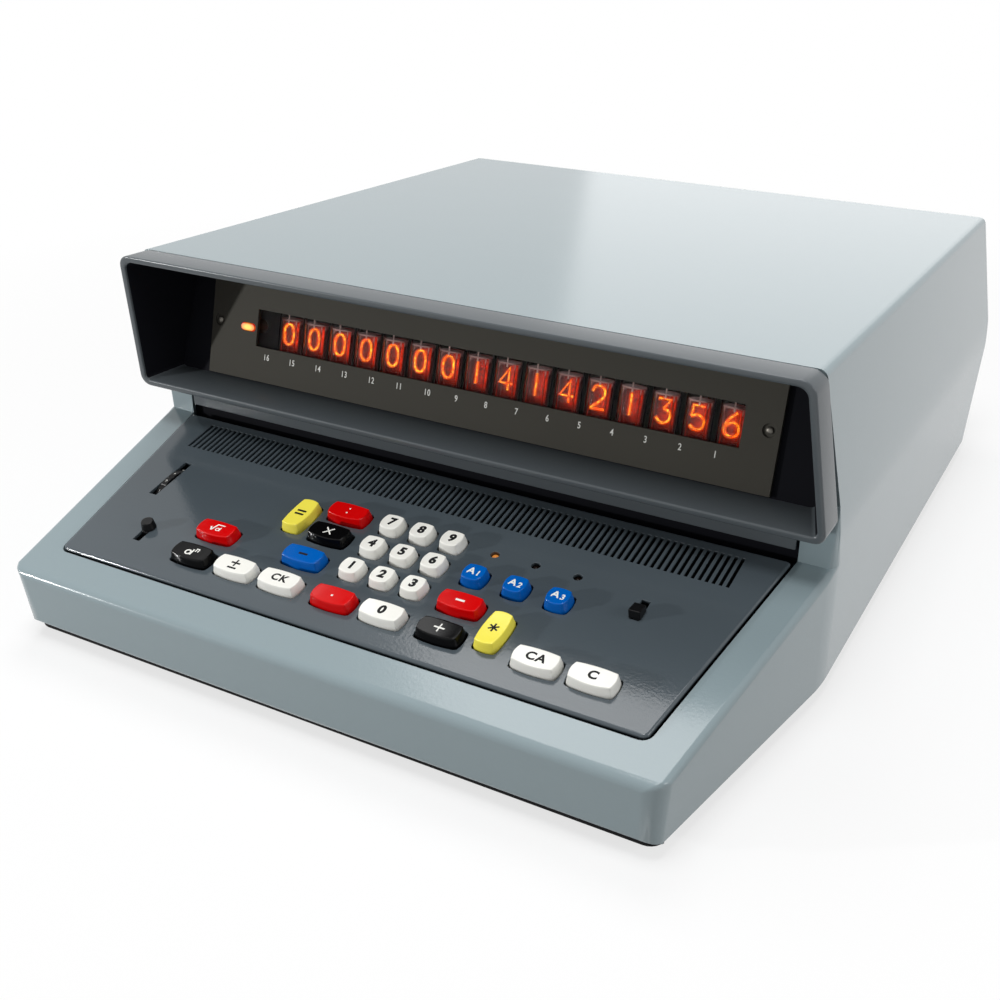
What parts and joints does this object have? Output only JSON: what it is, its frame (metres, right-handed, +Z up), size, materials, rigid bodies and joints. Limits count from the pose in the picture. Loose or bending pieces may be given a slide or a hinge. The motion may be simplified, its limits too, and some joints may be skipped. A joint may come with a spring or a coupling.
{
  "type": "nixie tube calculator",
  "caption": "Desk calculator with a hooded row of glow-discharge number tubes, a sloped keyboard of coloured keys, slide switches and a decimal wheel, in a lacquered case on feet.",
  "frame": {"origin": "on the table under the middle of the case", "axes": "+X to the right, +Y to the rear, +Z up"},
  "size_m": [0.441, 0.5637, 0.1915],
  "materials": {
    "case_paint": "gloss lacquer on a moulded shell",
    "black_steel": "satin black paint",
    "foot_rubber": "matt",
    "screw_steel": "bright",
    "slate_paint": "semi-gloss paint",
    "black_plastic": "moulded",
    "slate_plastic": "moulded, satin",
    "display_sheet": "printed sheet",
    "clear_window": "clear sheet",
    "amber_lens": "lit lens",
    "circuit_board": "laminate",
    "socket_plastic": "moulded phenolic",
    "electrode_metal": "thin sheet and wire",
    "tube_glass": "clear blown glass",
    "zinc_steel": "zinc plated",
    "lamp_glass": "glow lamp",
    "core_steel": "varnished laminations",
    "can_aluminium": "drawn cans",
    "key_white": "moulded",
    "key_red": "moulded",
    "key_blue": "moulded",
    "key_yellow": "moulded",
    "key_black": "moulded"
  },
  "bodies": {
    "housing": {"case_shell": "case_paint", "base_plate": "black_steel", "feet": "foot_rubber", "case_screws": "screw_steel", "rear_panel": "slate_paint", "mains_inlet": "black_plastic", "fuse_holder": "black_plastic", "hood_frame": "slate_plastic", "neck_strip": "slate_plastic", "bulkhead": "black_steel", "display_panel": "display_sheet", "window_glass": "clear_window", "display_screws": "screw_steel", "pilot_lamp": "amber_lens", "tube_board": "circuit_board", "tube_sockets": "socket_plastic", "tube_electrodes": "electrode_metal", "tube_envelopes": "tube_glass", "keyboard_panel": "slate_paint", "panel_pillars": "zinc_steel", "keyboard_board": "circuit_board", "key_switches": "black_plastic", "slide_bodies": "zinc_steel", "wheel_bracket": "zinc_steel", "indicator_lamps": "lamp_glass", "chassis": "zinc_steel", "backplane": "circuit_board", "logic_cards": "circuit_board", "transformer": "core_steel", "capacitors": "can_aluminium"},
    "slide_left_body": {"slide_left": "black_plastic"},
    "slide_right_body": {"slide_right": "black_plastic"},
    "decimal_wheel_body": {"decimal_wheel": "black_plastic"},
    "key_root_body": {"key_root": "key_red"},
    "key_power_body": {"key_power": "key_black"},
    "key_sign_body": {"key_sign": "key_white"},
    "key_check_body": {"key_check": "key_white"},
    "key_subtract_body": {"key_subtract": "key_blue"},
    "key_multiply_body": {"key_multiply": "key_black"},
    "key_divide_body": {"key_divide": "key_red"},
    "key_equals_body": {"key_equals": "key_yellow"},
    "key_1_body": {"key_1": "key_white"},
    "key_2_body": {"key_2": "key_white"},
    "key_3_body": {"key_3": "key_white"},
    "key_4_body": {"key_4": "key_white"},
    "key_5_body": {"key_5": "key_white"},
    "key_6_body": {"key_6": "key_white"},
    "key_7_body": {"key_7": "key_white"},
    "key_8_body": {"key_8": "key_white"},
    "key_9_body": {"key_9": "key_white"},
    "key_point_body": {"key_point": "key_red"},
    "key_0_body": {"key_0": "key_white"},
    "key_a1_body": {"key_a1": "key_blue"},
    "key_a2_body": {"key_a2": "key_blue"},
    "key_a3_body": {"key_a3": "key_blue"},
    "key_minus_body": {"key_minus": "key_red"},
    "key_plus_body": {"key_plus": "key_black"},
    "key_total_body": {"key_total": "key_yellow"},
    "key_clear_all_body": {"key_clear_all": "key_white"},
    "key_clear_body": {"key_clear": "key_white"}
  },
  "joints": [
    {"name": "key_root_press", "type": "slide", "parent": "housing", "child": "key_root_body", "axis": [0, -0.1994, 0.9799], "range_m": [-0.0035, 0], "stiffness_N_per_m": 150, "springref_m": 0.002},
    {"name": "key_power_press", "type": "slide", "parent": "housing", "child": "key_power_body", "axis": [0, -0.1994, 0.9799], "range_m": [-0.0035, 0], "stiffness_N_per_m": 150, "springref_m": 0.002},
    {"name": "key_sign_press", "type": "slide", "parent": "housing", "child": "key_sign_body", "axis": [0, -0.1994, 0.9799], "range_m": [-0.0035, 0], "stiffness_N_per_m": 150, "springref_m": 0.002},
    {"name": "key_check_press", "type": "slide", "parent": "housing", "child": "key_check_body", "axis": [0, -0.1994, 0.9799], "range_m": [-0.0035, 0], "stiffness_N_per_m": 150, "springref_m": 0.002},
    {"name": "key_subtract_press", "type": "slide", "parent": "housing", "child": "key_subtract_body", "axis": [0, -0.1994, 0.9799], "range_m": [-0.0035, 0], "stiffness_N_per_m": 150, "springref_m": 0.002},
    {"name": "key_multiply_press", "type": "slide", "parent": "housing", "child": "key_multiply_body", "axis": [0, -0.1994, 0.9799], "range_m": [-0.0035, 0], "stiffness_N_per_m": 150, "springref_m": 0.002},
    {"name": "key_divide_press", "type": "slide", "parent": "housing", "child": "key_divide_body", "axis": [0, -0.1994, 0.9799], "range_m": [-0.0035, 0], "stiffness_N_per_m": 150, "springref_m": 0.002},
    {"name": "key_equals_press", "type": "slide", "parent": "housing", "child": "key_equals_body", "axis": [0, -0.1994, 0.9799], "range_m": [-0.0035, 0], "stiffness_N_per_m": 150, "springref_m": 0.002},
    {"name": "key_1_press", "type": "slide", "parent": "housing", "child": "key_1_body", "axis": [0, -0.1994, 0.9799], "range_m": [-0.0035, 0], "stiffness_N_per_m": 150, "springref_m": 0.002},
    {"name": "key_2_press", "type": "slide", "parent": "housing", "child": "key_2_body", "axis": [0, -0.1994, 0.9799], "range_m": [-0.0035, 0], "stiffness_N_per_m": 150, "springref_m": 0.002},
    {"name": "key_3_press", "type": "slide", "parent": "housing", "child": "key_3_body", "axis": [0, -0.1994, 0.9799], "range_m": [-0.0035, 0], "stiffness_N_per_m": 150, "springref_m": 0.002},
    {"name": "key_4_press", "type": "slide", "parent": "housing", "child": "key_4_body", "axis": [0, -0.1994, 0.9799], "range_m": [-0.0035, 0], "stiffness_N_per_m": 150, "springref_m": 0.002},
    {"name": "key_5_press", "type": "slide", "parent": "housing", "child": "key_5_body", "axis": [0, -0.1994, 0.9799], "range_m": [-0.0035, 0], "stiffness_N_per_m": 150, "springref_m": 0.002},
    {"name": "key_6_press", "type": "slide", "parent": "housing", "child": "key_6_body", "axis": [0, -0.1994, 0.9799], "range_m": [-0.0035, 0], "stiffness_N_per_m": 150, "springref_m": 0.002},
    {"name": "key_7_press", "type": "slide", "parent": "housing", "child": "key_7_body", "axis": [0, -0.1994, 0.9799], "range_m": [-0.0035, 0], "stiffness_N_per_m": 150, "springref_m": 0.002},
    {"name": "key_8_press", "type": "slide", "parent": "housing", "child": "key_8_body", "axis": [0, -0.1994, 0.9799], "range_m": [-0.0035, 0], "stiffness_N_per_m": 150, "springref_m": 0.002},
    {"name": "key_9_press", "type": "slide", "parent": "housing", "child": "key_9_body", "axis": [0, -0.1994, 0.9799], "range_m": [-0.0035, 0], "stiffness_N_per_m": 150, "springref_m": 0.002},
    {"name": "key_point_press", "type": "slide", "parent": "housing", "child": "key_point_body", "axis": [0, -0.1994, 0.9799], "range_m": [-0.0035, 0], "stiffness_N_per_m": 150, "springref_m": 0.002},
    {"name": "key_0_press", "type": "slide", "parent": "housing", "child": "key_0_body", "axis": [0, -0.1994, 0.9799], "range_m": [-0.0035, 0], "stiffness_N_per_m": 150, "springref_m": 0.002},
    {"name": "key_a1_press", "type": "slide", "parent": "housing", "child": "key_a1_body", "axis": [0, -0.1994, 0.9799], "range_m": [-0.0035, 0], "stiffness_N_per_m": 150, "springref_m": 0.002},
    {"name": "key_a2_press", "type": "slide", "parent": "housing", "child": "key_a2_body", "axis": [0, -0.1994, 0.9799], "range_m": [-0.0035, 0], "stiffness_N_per_m": 150, "springref_m": 0.002},
    {"name": "key_a3_press", "type": "slide", "parent": "housing", "child": "key_a3_body", "axis": [0, -0.1994, 0.9799], "range_m": [-0.0035, 0], "stiffness_N_per_m": 150, "springref_m": 0.002},
    {"name": "key_minus_press", "type": "slide", "parent": "housing", "child": "key_minus_body", "axis": [0, -0.1994, 0.9799], "range_m": [-0.0035, 0], "stiffness_N_per_m": 150, "springref_m": 0.002},
    {"name": "key_plus_press", "type": "slide", "parent": "housing", "child": "key_plus_body", "axis": [0, -0.1994, 0.9799], "range_m": [-0.0035, 0], "stiffness_N_per_m": 150, "springref_m": 0.002},
    {"name": "key_total_press", "type": "slide", "parent": "housing", "child": "key_total_body", "axis": [0, -0.1994, 0.9799], "range_m": [-0.0035, 0], "stiffness_N_per_m": 150, "springref_m": 0.002},
    {"name": "key_clear_all_press", "type": "slide", "parent": "housing", "child": "key_clear_all_body", "axis": [0, -0.1994, 0.9799], "range_m": [-0.0035, 0], "stiffness_N_per_m": 150, "springref_m": 0.002},
    {"name": "key_clear_press", "type": "slide", "parent": "housing", "child": "key_clear_body", "axis": [0, -0.1994, 0.9799], "range_m": [-0.0035, 0], "stiffness_N_per_m": 150, "springref_m": 0.002},
    {"name": "slide_left_throw", "type": "slide", "parent": "housing", "child": "slide_left_body", "axis": [0, 0.9799, 0.1994], "range_m": [-0.007, 0]},
    {"name": "slide_right_throw", "type": "slide", "parent": "housing", "child": "slide_right_body", "axis": [0, 0.9799, 0.1994], "range_m": [0, 0.007]},
    {"name": "decimal_wheel_turn", "type": "hinge", "parent": "housing", "child": "decimal_wheel_body", "pos_m": [-0.16238, -0.17978, 0.04566], "axis": [1, 0, 0], "continuous": true}
  ]
}
